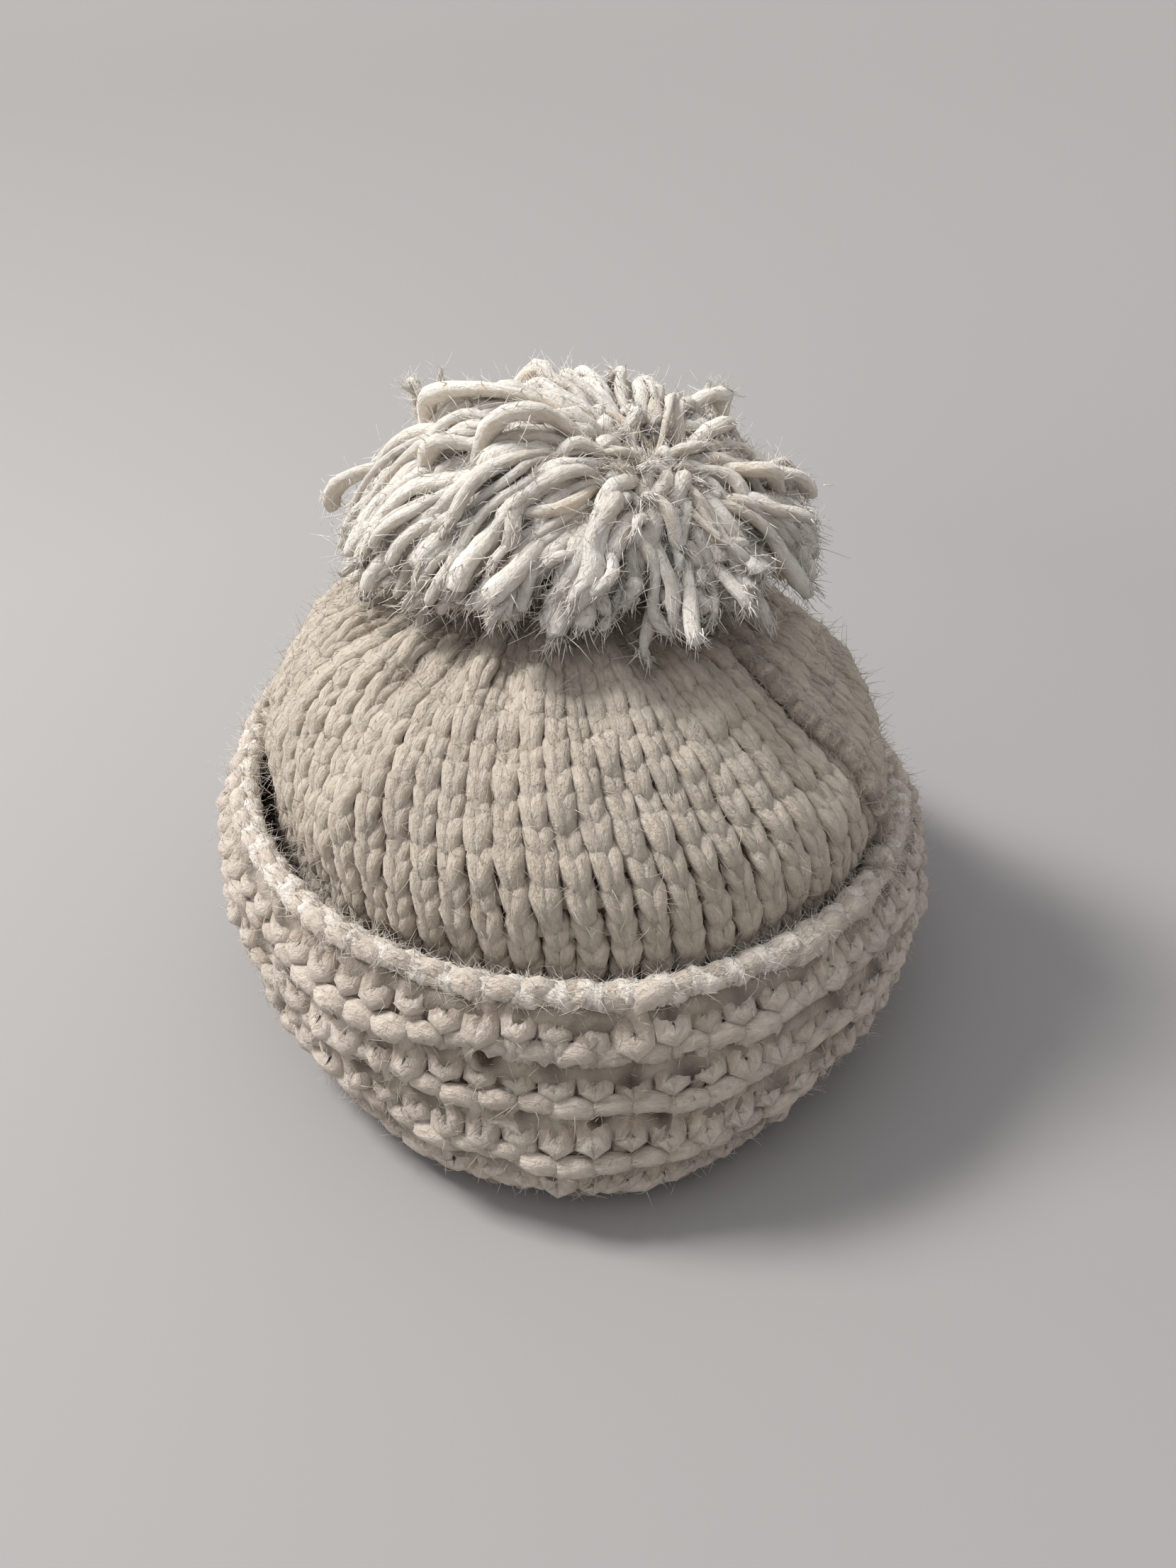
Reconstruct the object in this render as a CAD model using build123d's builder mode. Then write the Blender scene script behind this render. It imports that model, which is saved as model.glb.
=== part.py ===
"""Chunky knitted beanie with a turned-up cuff and a loose yarn pompom.

Millimetres, +Z up. The hat stands on the fold of its cuff. The origin is the centre of that
resting plane, the wearer faces +Y, and the nape is at -Y.

Every ring of the hat is drawn as a round profile whose radius is the half-width across the ears.
It is then stretched front to back, because a head is longer than it is wide.
"""
import os
from math import acos, asin, atan2, cos, radians, sin

from build123d import *

os.makedirs("parts", exist_ok=True)

# ---------------------------------------------------------------- driving dimensions
head_depth_ratio = 1.15      # front-to-back size over side-to-side size
fabric = 7.0                  # one layer of chunky knit
stitch_gap = 0.2              # between pieces that are worked into each other
running_gap = 0.4             # between pieces that move past each other

opening_half_width = 74.5     # inside of the brim, across the ears
layer_gap = 0.6               # between the band and the turned-up cuff, at the fold
roll_height = 11.0            # the rounded fold at the bottom
roll_rounding = 5.0

cuff_bulge_flare = 9.4        # the cuff stands out most here, past its start at the fold
cuff_bulge_height = 33.0
cuff_top_flare = 4.3
cuff_top_height = 56.0
band_bulge = 1.5              # how far the band swells beyond a straight cone

edge_width = 7.8              # cast-on edge, a thick bead along the top of the cuff
edge_height = 6.2

crown_flare = 3.3             # the crown's outside at its base, past the band at the fold
crown_base_height = 56.0
crown_side_radius = 54.0      # of the arc that turns the side in towards the top
crown_dome_rise = 7.0         # of the crown's top, above where that arc would end level

eye_radius = 10.5             # hole at the top that the drawstring gathers
drawstring_radius = 1.8
gather_knot_radius = 3.2

seam_angle = -33.0            # from +X towards -Y: beside the nape, behind the right ear
seam_width = 7.0
seam_rise = 2.0
seam_end_radius = 17.0
seam_lump = (4.2, 3.4, 2.2)   # half sizes of the joined end on the rim

neck_radius = 3.4             # bundle of tie strands through the eye
pivot_rise = 5.0              # of the pompom's hinge, above the crown
link_radius = 3.2
inner_knot_radius = 8.5
inner_knot_height = 12.0
inner_knot_drop = 3.0         # below the inside of the crown
tail_length = 10.0
tail_radius = 2.1
tail_spread = 4.0

core_radius = 6.0             # middle of the pompom's strands
core_length = 16.0
wrap_radius = 1.6
tie_knot_radius = 2.6
tie_knot_angle = 60.0         # from straight up, towards +X

pompom_half_width = 60.0
pompom_half_depth = 53.0
low_tufts = 8
low_tuft_drop = 2.0           # their middle lines meet the axis this far below the waist
low_tuft_tilt = -9.0
low_tuft_clearance = 2.6      # from the wrap round the waist
high_tufts = 6
high_tuft_rise = 3.0          # above the waist
high_tuft_tilt = 18.0
high_tuft_clearance = 4.6
high_tuft_inset = 10.0        # shorter than the low ones by this
tuft_flatness = 0.5
tuft_side_gap = 1.5           # degrees left free on each side of a tuft
crest_half_width = 19.0
crest_half_height = 7.0
crest_rise = 18.5             # of its middle, above the pompom's waist

# ---------------------------------------------------------------- derived sizes
cuff_start_half_width = opening_half_width + 2 * fabric + layer_gap
cuff_bulge_half_width = cuff_start_half_width + cuff_bulge_flare
cuff_top_half_width = cuff_start_half_width + cuff_top_flare
crown_half_width = opening_half_width + fabric + crown_flare
crown_top_height = crown_base_height + crown_side_radius + crown_dome_rise
pivot_height = crown_top_height + pivot_rise
wrap_ring_radius = core_radius + stitch_gap + wrap_radius
wrap_reach = wrap_ring_radius + wrap_radius
waist_height = pivot_height + link_radius + running_gap + wrap_reach
edge_centre_height = cuff_top_height + stitch_gap + edge_height / 2
edge_centre_half_width = cuff_top_half_width - fabric / 2
seam_start_height = (edge_centre_height + edge_height / 2 + 2 * seam_lump[2]
                     + 2 * stitch_gap)     # just above the joined end on the rim
inner_knot_centre = crown_top_height - fabric - inner_knot_drop - inner_knot_height / 2


def meridian_plane(angle):
    """Upright plane through the axis: its x runs outwards at this angle, its y runs up."""
    a = radians(angle)
    return Plane(origin=(0, 0, 0), x_dir=(cos(a), sin(a), 0), z_dir=(sin(a), -cos(a), 0))


def crown_arcs(lift, start_height, end_radius):
    """The crown's outer line moved outwards by lift, as (start, middle, end) of its two arcs.

    The side arc leaves the widest ring upright, and the flatter top arc is level at the axis.
    """
    side = crown_half_width - crown_side_radius
    rise = crown_top_height - crown_base_height
    top_radius = ((side ** 2 + rise ** 2 - crown_side_radius ** 2)
                  / (2 * (rise - crown_side_radius)))
    side_centre = Vector(side, crown_base_height)
    top_centre = Vector(0, crown_top_height - top_radius)
    join = atan2(side_centre.Y - top_centre.Y, side_centre.X)
    start = asin((start_height - side_centre.Y) / (crown_side_radius + lift))
    end = acos(end_radius / (top_radius + lift))

    def arc(centre, radius, first, last):
        angles = (first, (first + last) / 2, last)
        return [(centre.X + radius * cos(a), centre.Y + radius * sin(a)) for a in angles]

    return (arc(side_centre, crown_side_radius + lift, start, join),
            arc(top_centre, top_radius + lift, join, end))


def crown_skin(low_lift, high_lift, start_height, end_radius):
    """Closed outline between two lines that run along the crown, made where a line is built."""
    low_side, low_top = crown_arcs(low_lift, start_height, end_radius)
    high_side, high_top = crown_arcs(high_lift, start_height, end_radius)
    for points in (low_side, low_top, high_side, high_top):
        ThreePointArc(*points)
    Line(low_side[0], high_side[0])
    Line(low_top[2], high_top[2])


def flattened_ball(half_width, half_height):
    """A ball of yarn pressed flat, centred on the origin."""
    with BuildPart() as ball:
        Sphere(half_width)
        scale(by=(1, 1, half_height / half_width))
    return ball.part


def label_and_write(part, name):
    """Name a finished piece and write it to its own file."""
    part.label = name
    export_step(part, f"parts/{name}.step")


# ---------------------------------------------------------------- brim: fold, band, cuff, edge
with BuildPart() as fold_roll:
    with BuildSketch(Plane.XY):
        for half_width, mode in ((cuff_start_half_width, Mode.ADD),
                                 (opening_half_width, Mode.SUBTRACT)):
            Ellipse(half_width, half_width * head_depth_ratio, mode=mode)
    extrude(amount=roll_height)
    fillet(edges().group_by(Axis.Z)[0], roll_rounding)      # leaves a flat ring to stand on
label_and_write(fold_roll.part, "fold_roll")


def wall_of_revolution(foot, bulge, top):
    """A ring of fabric: its outer line is an arc through three (half-width, height) points."""
    inner = [(r - fabric, z) for r, z in (foot, bulge, top)]
    with BuildPart() as wall:
        with BuildSketch(Plane.XZ):
            with BuildLine():
                ThreePointArc(foot, bulge, top)
                Line(top, inner[2])
                ThreePointArc(inner[2], inner[1], inner[0])
                Line(inner[0], foot)
            make_face()
        revolve(axis=Axis.Z)
        scale(by=(1, head_depth_ratio, 1))
    return wall.part


band_foot = (opening_half_width + fabric, roll_height + stitch_gap)
band_top = (crown_half_width, crown_base_height - stitch_gap)
band_middle = ((band_foot[0] + band_top[0]) / 2 + band_bulge, (band_foot[1] + band_top[1]) / 2)
with BuildPart() as inner_band:
    add(wall_of_revolution(band_foot, band_middle, band_top))
label_and_write(inner_band.part, "inner_band")

with BuildPart() as cuff:
    add(wall_of_revolution(
        (cuff_start_half_width, roll_height + stitch_gap),
        (cuff_bulge_half_width, cuff_bulge_height),
        (cuff_top_half_width, cuff_top_height)))
label_and_write(cuff.part, "cuff")

with BuildPart() as cast_on_edge:
    with BuildSketch(Plane.XZ):
        with Locations((edge_centre_half_width, edge_centre_height)):
            Ellipse(edge_width / 2, edge_height / 2)
    revolve(axis=Axis.Z)
    scale(by=(1, head_depth_ratio, 1))
label_and_write(cast_on_edge.part, "cast_on_edge")

# ---------------------------------------------------------------- crown and its gathered eye
with BuildPart() as crown:
    with BuildSketch(Plane.XZ):
        with BuildLine():
            crown_skin(-fabric, 0, crown_base_height, eye_radius)
        make_face()
    revolve(axis=Axis.Z)
    scale(by=(1, head_depth_ratio, 1))
label_and_write(crown.part, "crown")

with BuildPart() as gather_ring:
    with BuildSketch(Plane.XZ):
        with Locations((eye_radius - stitch_gap - drawstring_radius,
                        crown_top_height - fabric / 2)):
            Circle(drawstring_radius)
    revolve(axis=Axis.Z)
    scale(by=(1, head_depth_ratio, 1))
label_and_write(gather_ring.part, "gather_ring")

with BuildPart() as gather_knot:
    knot_place = eye_radius + gather_knot_radius
    lining_edge = crown_arcs(-fabric, crown_base_height, knot_place + gather_knot_radius)[1][2]
    with Locations((-knot_place, 0, lining_edge[1] - stitch_gap - gather_knot_radius)):
        Sphere(gather_knot_radius)
label_and_write(gather_knot.part, "gather_knot")

# ---------------------------------------------------------------- seam
with BuildPart() as back_seam:
    with BuildSketch(meridian_plane(seam_angle)):
        with BuildLine():
            crown_skin(stitch_gap, stitch_gap + seam_rise, seam_start_height, seam_end_radius)
        make_face()
    extrude(amount=seam_width / 2, both=True)
    scale(by=(1, head_depth_ratio, 1))
label_and_write(back_seam.part, "back_seam")

with BuildPart() as seam_end:
    with BuildSketch(meridian_plane(seam_angle)):
        with Locations((edge_centre_half_width,
                        edge_centre_height + edge_height / 2 + stitch_gap + seam_lump[2])):
            Rectangle(2 * seam_lump[1], 2 * seam_lump[2])
    extrude(amount=seam_lump[0], both=True)
    scale(by=(1, head_depth_ratio, 1))
    fillet(edges(), min(seam_lump) * 0.6)
label_and_write(seam_end.part, "seam_end")

# ---------------------------------------------------------------- tie strands through the eye
with BuildPart() as tie_neck:
    neck_bottom = inner_knot_centre + inner_knot_height / 2 + stitch_gap
    neck_top = pivot_height - link_radius - running_gap
    with BuildSketch(Plane.XY.offset(neck_bottom)):
        Circle(neck_radius)
    extrude(amount=neck_top - neck_bottom)
label_and_write(tie_neck.part, "tie_neck")

with BuildPart() as inner_knot:
    with Locations((0, 0, inner_knot_centre)):
        add(flattened_ball(inner_knot_radius, inner_knot_height / 2))
label_and_write(inner_knot.part, "inner_knot")

tail_top = inner_knot_centre - inner_knot_height / 2 - stitch_gap
for side, name in ((-1, "tie_tail_left"), (1, "tie_tail_right")):
    with BuildPart() as tie_tail:
        with BuildSketch(Plane.XY.offset(tail_top - tail_length)):
            with Locations((side * tail_spread, 0)):
                Circle(tail_radius)
        extrude(amount=tail_length)
        fillet(edges(), tail_radius * 0.5)
    label_and_write(tie_tail.part, name)

with BuildPart() as tie_link:
    with Locations((0, 0, pivot_height)):
        Sphere(link_radius)
label_and_write(tie_link.part, "tie_link")

# ---------------------------------------------------------------- pompom: waist
with BuildPart() as pompom_core:
    with BuildSketch(Plane.XZ.offset(-core_length / 2)):
        with Locations((0, waist_height)):
            Circle(core_radius)
    extrude(amount=core_length)
    fillet(edges(), core_radius * 0.5)
label_and_write(pompom_core.part, "pompom_core")

with BuildPart() as waist_wrap:
    with Locations(Location((0, 0, waist_height), (90, 0, 0))):
        Torus(wrap_ring_radius, wrap_radius)
label_and_write(waist_wrap.part, "waist_wrap")

with BuildPart() as tie_knot:
    knot_reach = wrap_reach + stitch_gap + tie_knot_radius
    with Locations((knot_reach * sin(radians(tie_knot_angle)), 0,
                    waist_height + knot_reach * cos(radians(tie_knot_angle)))):
        Sphere(tie_knot_radius)
label_and_write(tie_knot.part, "tie_knot")


# ---------------------------------------------------------------- pompom: tufts of cut yarn
def pompom_reach(angle, inset):
    """How far the pompom reaches at this angle, as an ellipse seen from above."""
    a = radians(angle)
    wide, deep = pompom_half_width - inset, pompom_half_depth - inset
    return wide * deep / ((deep * cos(a)) ** 2 + (wide * sin(a)) ** 2) ** 0.5


def tuft(reach, start, half_angle):
    """A flattened cone with a round end, along +X from the pompom's axis."""
    a = radians(half_angle)
    centre = reach / (1 + sin(a))
    shoulder = (centre * cos(a) ** 2, centre * cos(a) * sin(a))
    with BuildPart() as lobe:
        with BuildSketch(Plane.XY):
            with BuildLine():
                Polyline((start, 0), (start, start * sin(a) / cos(a)), shoulder)
                ThreePointArc(
                    shoulder,
                    (centre + centre * sin(a) * cos(a), centre * sin(a) * sin(a)),
                    (reach, 0))
                Line((reach, 0), (start, 0))
            make_face()
        revolve(axis=Axis.X)
        scale(by=(1, 1, tuft_flatness))
    return lobe.part


def write_tufts(prefix, count, height, tilt, start, inset):
    """A ring of tufts, evenly spaced, the first one half a step past +X."""
    step = 360 / count
    for k in range(count):
        angle = step * (k + 0.5)
        with BuildPart() as one_tuft:
            with Locations(Location((0, 0, height), (0, 0, angle))):
                with Locations(Location((0, 0, 0), (0, -tilt, 0))):
                    add(tuft(pompom_reach(angle, inset), start, step / 2 - tuft_side_gap))
        label_and_write(one_tuft.part, f"{prefix}_{k + 1}")


write_tufts("tuft_low", low_tufts, waist_height - low_tuft_drop, low_tuft_tilt,
            wrap_reach + low_tuft_clearance, 0)
write_tufts("tuft_high", high_tufts, waist_height + high_tuft_rise, high_tuft_tilt,
            wrap_reach + high_tuft_clearance, high_tuft_inset)

with BuildPart() as tuft_crest:
    with Locations((0, 0, waist_height + crest_rise)):
        add(flattened_ball(crest_half_width, crest_half_height))
label_and_write(tuft_crest.part, "tuft_crest")
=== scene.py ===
# %% [markdown]
# # A chunky knitted beanie, stitch by stitch
#
# The hat is one knitted fabric. It starts at the cast-on edge on top of the cuff, runs down the
# outside of the cuff, turns round the fold, climbs inside the cuff and closes over the head.
# A loose pompom of cut yarn is tied through the hole at the top.
#
# This script grows every stitch as a real loop of yarn on that fabric, then adds fibres,
# wool materials, a floor, lights and a camera. A bump pattern on a smooth shell would be
# quicker, but only real loops give the true outline, gaps and shadows of thick knitting.
# Sizes inside the script are in millimetres.

import math

import bpy
import numpy as np
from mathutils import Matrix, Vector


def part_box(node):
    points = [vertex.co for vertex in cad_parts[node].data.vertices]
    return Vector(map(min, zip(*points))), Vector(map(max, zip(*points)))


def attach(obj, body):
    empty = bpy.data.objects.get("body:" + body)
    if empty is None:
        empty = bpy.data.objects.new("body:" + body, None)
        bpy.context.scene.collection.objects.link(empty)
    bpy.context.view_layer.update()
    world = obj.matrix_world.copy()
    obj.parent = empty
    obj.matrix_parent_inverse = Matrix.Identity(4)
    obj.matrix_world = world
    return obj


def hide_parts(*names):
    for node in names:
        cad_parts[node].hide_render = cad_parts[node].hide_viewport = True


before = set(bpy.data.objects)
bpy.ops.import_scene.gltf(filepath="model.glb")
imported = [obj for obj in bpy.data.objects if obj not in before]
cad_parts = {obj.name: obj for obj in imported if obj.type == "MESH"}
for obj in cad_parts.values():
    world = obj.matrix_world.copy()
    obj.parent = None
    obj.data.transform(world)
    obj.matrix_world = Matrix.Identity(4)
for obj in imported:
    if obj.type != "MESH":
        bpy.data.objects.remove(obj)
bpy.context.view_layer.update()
MM = 0.001


def box_mm(node):
    """Lowest and highest corner of a frame piece, in millimetres."""
    return [np.array(corner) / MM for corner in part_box(node)]


crown_low, crown_high = box_mm("crown")
cuff_high = box_mm("cuff")[1]
edge_low, edge_high = box_mm("cast_on_edge")
fold_high = box_mm("fold_roll")[1]
print("crown", crown_low.round(1), crown_high.round(1))

# %% [markdown]
# ## The line the fabric follows
#
# Cut the hat in half and the middle of the fabric draws one line: down the cuff, round the
# fold, up the band and over the crown. The line is given as distance from the axis and height.
# It could be drawn by hand as a curve. It is worked out from the frame's pieces instead, so
# that it follows them. The crown's part of it is two arcs that meet without a corner.

# %% Fabric sizes and arcs
FABRIC = 7.0                # thickness of one layer
WALES = 72                  # stitches in a round
DEPTH_RATIO = crown_high[1] / crown_high[0]
SIDE_RADIUS = 54.0          # of the crown's side arc, measured on its outside
EYE_RADIUS = 10.5           # hole at the top
BAND_BULGE = 1.5
EDGE_WIDTH = 7.8            # the thick bead along the top of the cuff

half = FABRIC / 2
crown_half_width = crown_high[0]
crown_base = crown_low[2]
crown_top = crown_high[2] + 0.44     # the eye is cut just below the very top


def arc_through(a, b, c, count):
    """Points of the circle from a through b to c."""
    a, b, c = (np.array(p, float) for p in (a, b, c))
    m = np.array([b - a, c - a]) * 2
    centre = np.linalg.solve(m, [b @ b - a @ a, c @ c - a @ a])
    angles = np.unwrap([math.atan2(*(p - centre)[::-1]) for p in (a, b, c)])
    sweep = np.linspace(angles[0], angles[2], count)
    radius = np.linalg.norm(a - centre)
    return centre + radius * np.stack([np.cos(sweep), np.sin(sweep)], 1)


def crown_line(count=60):
    """The crown's two arcs, from its widest ring to the eye, in the middle of the fabric."""
    side = crown_half_width - SIDE_RADIUS
    rise = crown_top - crown_base
    top_radius = (side ** 2 + rise ** 2 - SIDE_RADIUS ** 2) / (2 * (rise - SIDE_RADIUS))
    join = math.atan2(crown_base - (crown_top - top_radius), side)
    a = np.linspace(0, join, count)
    b = np.linspace(join, math.acos(EYE_RADIUS / (top_radius - half)), count)[1:]
    side_arc = np.stack([side + (SIDE_RADIUS - half) * np.cos(a),
                         crown_base + (SIDE_RADIUS - half) * np.sin(a)], 1)
    top_arc = np.stack([(top_radius - half) * np.cos(b),
                        crown_top - top_radius + (top_radius - half) * np.sin(b)], 1)
    return np.concatenate([side_arc, top_arc])


# %% [markdown]
# The whole line is the cuff, the fold, the band and the crown, end to end. It is sampled
# evenly, because rows of stitches are evenly spaced along it, and smoothed, because cloth
# has no corners. The distances at which its parts end are kept.

# %% Fabric line
CUFF_BULGE_HEIGHT = 33.0    # where the cuff is widest
FOLD_GAP = 0.6              # between the two layers at the fold
LINE_POINTS = 500
SMOOTHING = 9               # points that are averaged

cuff_middle = (cuff_high[0] - half, CUFF_BULGE_HEIGHT)
rim = (edge_high[0] - EDGE_WIDTH / 2, edge_low[2] + 0.5)
fold_outer = (fold_high[0] - half, fold_high[2] - 1.0)
fold_inner = (fold_outer[0] - FABRIC - FOLD_GAP, fold_outer[1])
fold_bottom = ((fold_outer[0] + fold_inner[0]) / 2, half + 0.3)
band_top = (crown_half_width - half, crown_base)
band_middle = ((fold_inner[0] + band_top[0]) / 2 + BAND_BULGE,
               (fold_inner[1] + band_top[1]) / 2)
cuff_line = arc_through(rim, cuff_middle, fold_outer, 60)
fold_line = arc_through(fold_outer, fold_bottom, fold_inner, 20)[1:]
band_line = arc_through(fold_inner, band_middle, band_top, 40)[1:]
line = np.concatenate([cuff_line, fold_line, band_line, crown_line()[1:]])
steps = np.linalg.norm(np.diff(line, axis=0), axis=1)
line_s = np.concatenate([[0], np.cumsum(steps)])
FABRIC_LENGTH = line_s[-1]
even_s = np.linspace(0, FABRIC_LENGTH, LINE_POINTS)
line_r = np.interp(even_s, line_s, line[:, 0])
line_z = np.interp(even_s, line_s, line[:, 1])
edge_points = SMOOTHING // 2
for values in (line_r, line_z):
    values[edge_points:-edge_points] = np.convolve(values, np.ones(SMOOTHING) / SMOOTHING, "valid")
slope = np.stack([np.gradient(line_r), np.gradient(line_z)], 1)
slope /= np.linalg.norm(slope, axis=1)[:, None]
CUFF_END = line_s[len(cuff_line) - 1]
FOLD_END = line_s[len(cuff_line) + len(fold_line) - 1]
BAND_END = line_s[len(cuff_line) + len(fold_line) + len(band_line) - 1]
print("fabric length", round(FABRIC_LENGTH, 1), "cuff", round(CUFF_END, 1))

# %% [markdown]
# ## From fabric to space
#
# `on_fabric` turns an angle round the head and a distance along the fabric into a point. It
# also adds the soft shape a worn hat has: it swells over the rim, lumps, and gathers into
# folds towards the top. Lift is measured towards the knit side of the fabric.
# Cloth simulation could find such a shape. A formula gives every stitch its place at once,
# and the same place each time the script runs.
#
# First come the helpers and the sizes of that soft shape. An angle of -90 degrees is the nape.

# %% Soft shape sizes
def smooth(x, low, high):
    """0 below low, 1 above high, and a soft turn between them."""
    t = np.clip((x - low) / (high - low), 0, 1)
    return t * t * (3 - 2 * t)


def angle_gap(phi, degrees):
    """Signed angle from a direction, in radians."""
    return (phi - math.radians(degrees) + np.pi) % (2 * np.pi) - np.pi


rng = np.random.default_rng(11)
# Each lump: waves round the head, waves along the fabric, where it starts, and its height.
LUMPS = [(rng.integers(2, 9), rng.uniform(0.02, 0.07), rng.uniform(0, 6.28),
          rng.uniform(0.25, 0.6)) for _ in range(9)]
NAPE_SPREAD = 13.0          # how far the fold sits back behind the nape
CROWN_LEAN = 7.0            # how far the top of the crown leans to the left
RIM_DIP = 12.0              # how far the rim sinks beyond the right ear
RIM_RISE = 4.0              # and how far it rises at the left
BELLY = 2.0                 # how far the crown swells over the rim
SEAM_BELLY = 2.2            # and how much more beside the seam
GATHER = 1.5                # height of the folds drawn in at the top
GATHER_FOLDS = 23           # how many of them go round
LEFT_FOLDS = 1.6            # height of the slanted folds on the left

# %% [markdown]
# The soft shape moves the plain surface in four ways: the rim dips and rises, the fabric lumps
# and swells, the folds stand up, and the lower cuff sits back at the nape.

# %% Fabric surface
def rim_shift(phi, s):
    """How far the cuff's rim stands above its plain height. It fades out towards the fold."""
    dip = RIM_DIP * np.exp(-(angle_gap(phi, 22) / 0.70) ** 2)
    rise = RIM_RISE * np.exp(-(angle_gap(phi, 168) / 0.80) ** 2)
    return (rise - dip) * smooth(-s, -CUFF_END, 2)


def fabric_shape(phi, s, r, z):
    """How far the fabric stands off its plain line, and how far it sits back at the nape."""
    crown = smooth(s, BAND_END - 4, BAND_END + 6)
    lift = sum(size * np.sin(n * phi + k * s + shift) for n, k, shift, size in LUMPS)
    lift = lift * (0.5 + 0.5 * crown)
    lift = lift + crown * BELLY * np.exp(-((z - 72) / 11) ** 2)
    beside = (angle_gap(phi, -28) / 0.5) ** 2 + ((z - 74) / 14) ** 2
    lift = lift + crown * SEAM_BELLY * np.exp(-beside)
    gather = smooth(-r, -74, -40) * crown
    wander = 2.2 * np.sin(3 * phi + 1) + 0.03 * s
    lift = lift + gather * GATHER * np.sin(GATHER_FOLDS * phi + wander)
    left = np.exp(-(angle_gap(phi, -135) / 0.55) ** 2) * crown * smooth(z, 62, 84)
    lift = lift + left * LEFT_FOLDS * np.sin(13 * phi - 0.10 * s)
    nape = np.exp(-(angle_gap(phi, -90) / 0.85) ** 2)
    low_cuff = smooth(s, 18, CUFF_END) * smooth(-s, -(FOLD_END + 24), -FOLD_END)
    return lift, nape * low_cuff * NAPE_SPREAD


def on_fabric(phi, s, lift=0.0, shaped=True):
    """Point and knit-side normal of the fabric at this angle and distance along it."""
    s_in = np.clip(s, 0, FABRIC_LENGTH)
    r, z = np.interp(s_in, even_s, line_r), np.interp(s_in, even_s, line_z)
    tr, tz = np.interp(s_in, even_s, slope[:, 0]), np.interp(s_in, even_s, slope[:, 1])
    r, z = r + tr * (s - s_in), z + tz * (s - s_in)
    c, d = np.cos(phi), np.sin(phi)
    normal = np.stack([tz * c, tz * d / DEPTH_RATIO, -tr * np.ones_like(c)], -1)
    normal /= np.linalg.norm(normal, axis=-1)[..., None]
    if shaped:
        extra, back = fabric_shape(phi, s, r, z)
        lift = lift + extra
        aside = CROWN_LEAN * smooth(z, 58, 100) * (s > BAND_END - 6)
        z = z + rim_shift(phi, s)
        point = np.stack([r * c - aside, r * d * DEPTH_RATIO - back, z], -1)
    else:
        point = np.stack([r * c, r * d * DEPTH_RATIO, z], -1)
    return point + normal * np.asarray(lift)[..., None], normal


# %% [markdown]
# ## Yarn
#
# A yarn is a tube swept along its path. The tube's sides turn with the fabric's normal, so it
# can be flattened where it is pressed. Each yarn also carries coordinates along and round
# itself for the fibres in the material, a tone that differs from stitch to stitch, and how
# deep it sits in the fabric, which sets its painted shade. A curve with a bevel makes a tube
# too, but a mesh built point by point can change its width, flatness and painted shade along
# the way.

# %% Tubes
roughness = np.random.default_rng(3)
ROUGHEN = 0.045             # unevenness of a yarn's surface, as a share of its radius


def tube(path, normal, radius, sides=8, closed=True, flat=1.0, tone=0.5, deep=0.0, relief=0.0):
    """Rings of points round a path. Radius and flat may change along it.

    Relief says how much less painted shade the side of the tube that faces the normal takes.
    """
    path, count = np.asarray(path), len(path)
    if closed:
        tangent = np.roll(path, -1, 0) - np.roll(path, 1, 0)
    else:
        tangent = np.gradient(path, axis=0)
    tangent /= np.linalg.norm(tangent, axis=1)[:, None] + 1e-12
    side = np.cross(tangent, normal)
    side /= np.linalg.norm(side, axis=1)[:, None] + 1e-12
    up = np.cross(side, tangent)
    turn = np.linspace(0, 2 * np.pi, sides, endpoint=False)
    radius = np.broadcast_to(radius, count)[:, None, None]
    flat = np.broadcast_to(flat, count)[:, None, None]
    ring = (np.cos(turn)[None, :, None] * up[:, None] * flat
            + np.sin(turn)[None, :, None] * side[:, None]) * radius
    bumps = roughness.normal(0, 1, ring.shape[:2])
    bumps = bumps + np.roll(bumps, 1, 0) + np.roll(bumps, 1, 1)
    ring = ring * (1 + ROUGHEN * bumps[..., None])
    verts = (path[:, None] + ring).reshape(-1, 3)
    rows = np.arange(count if closed else count - 1)
    i, j = np.meshgrid(rows, np.arange(sides), indexing="ij")
    i2, j2 = (i + 1) % count, (j + 1) % sides
    quads = np.stack([i * sides + j, i * sides + j2, i2 * sides + j2, i2 * sides + j], -1)
    length = np.concatenate([[0], np.cumsum(np.linalg.norm(np.diff(path, axis=0), axis=1))])
    last = np.linalg.norm(path[0] - path[-1])
    along = np.append(length, length[-1] + last)
    uv = np.stack([np.stack([along[i], j / sides], -1), np.stack([along[i], (j + 1) / sides], -1),
                   np.stack([along[i + 1], (j + 1) / sides], -1),
                   np.stack([along[i + 1], j / sides], -1)], 2)
    tone = np.repeat(np.broadcast_to(tone, count), sides)
    deep = np.broadcast_to(np.asarray(deep, float), count)[:, None]
    deep = np.clip(deep - relief * np.cos(turn)[None], 0, 1).reshape(-1)
    caps = None
    if not closed:
        caps = np.stack([np.arange(sides)[::-1], (count - 1) * sides + np.arange(sides)])
    return {"verts": verts, "quads": quads.reshape(-1, 4), "uv": uv.reshape(-1, 2),
            "tone": tone, "deep": deep, "caps": caps, "out": ring.reshape(-1, 3),
            "way": np.repeat(tangent, sides, axis=0)}


# %% [markdown]
# ## Fibres
#
# Wool is hairy, and its hairs catch the light along every outline. A fibre is a thin, curved,
# three-sided tube that narrows to its tip. Fuzz is many of them, lying loosely along the seen
# side of some yarns. Blender's own hair is lighter, but mesh fibres export with the rest.

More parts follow.
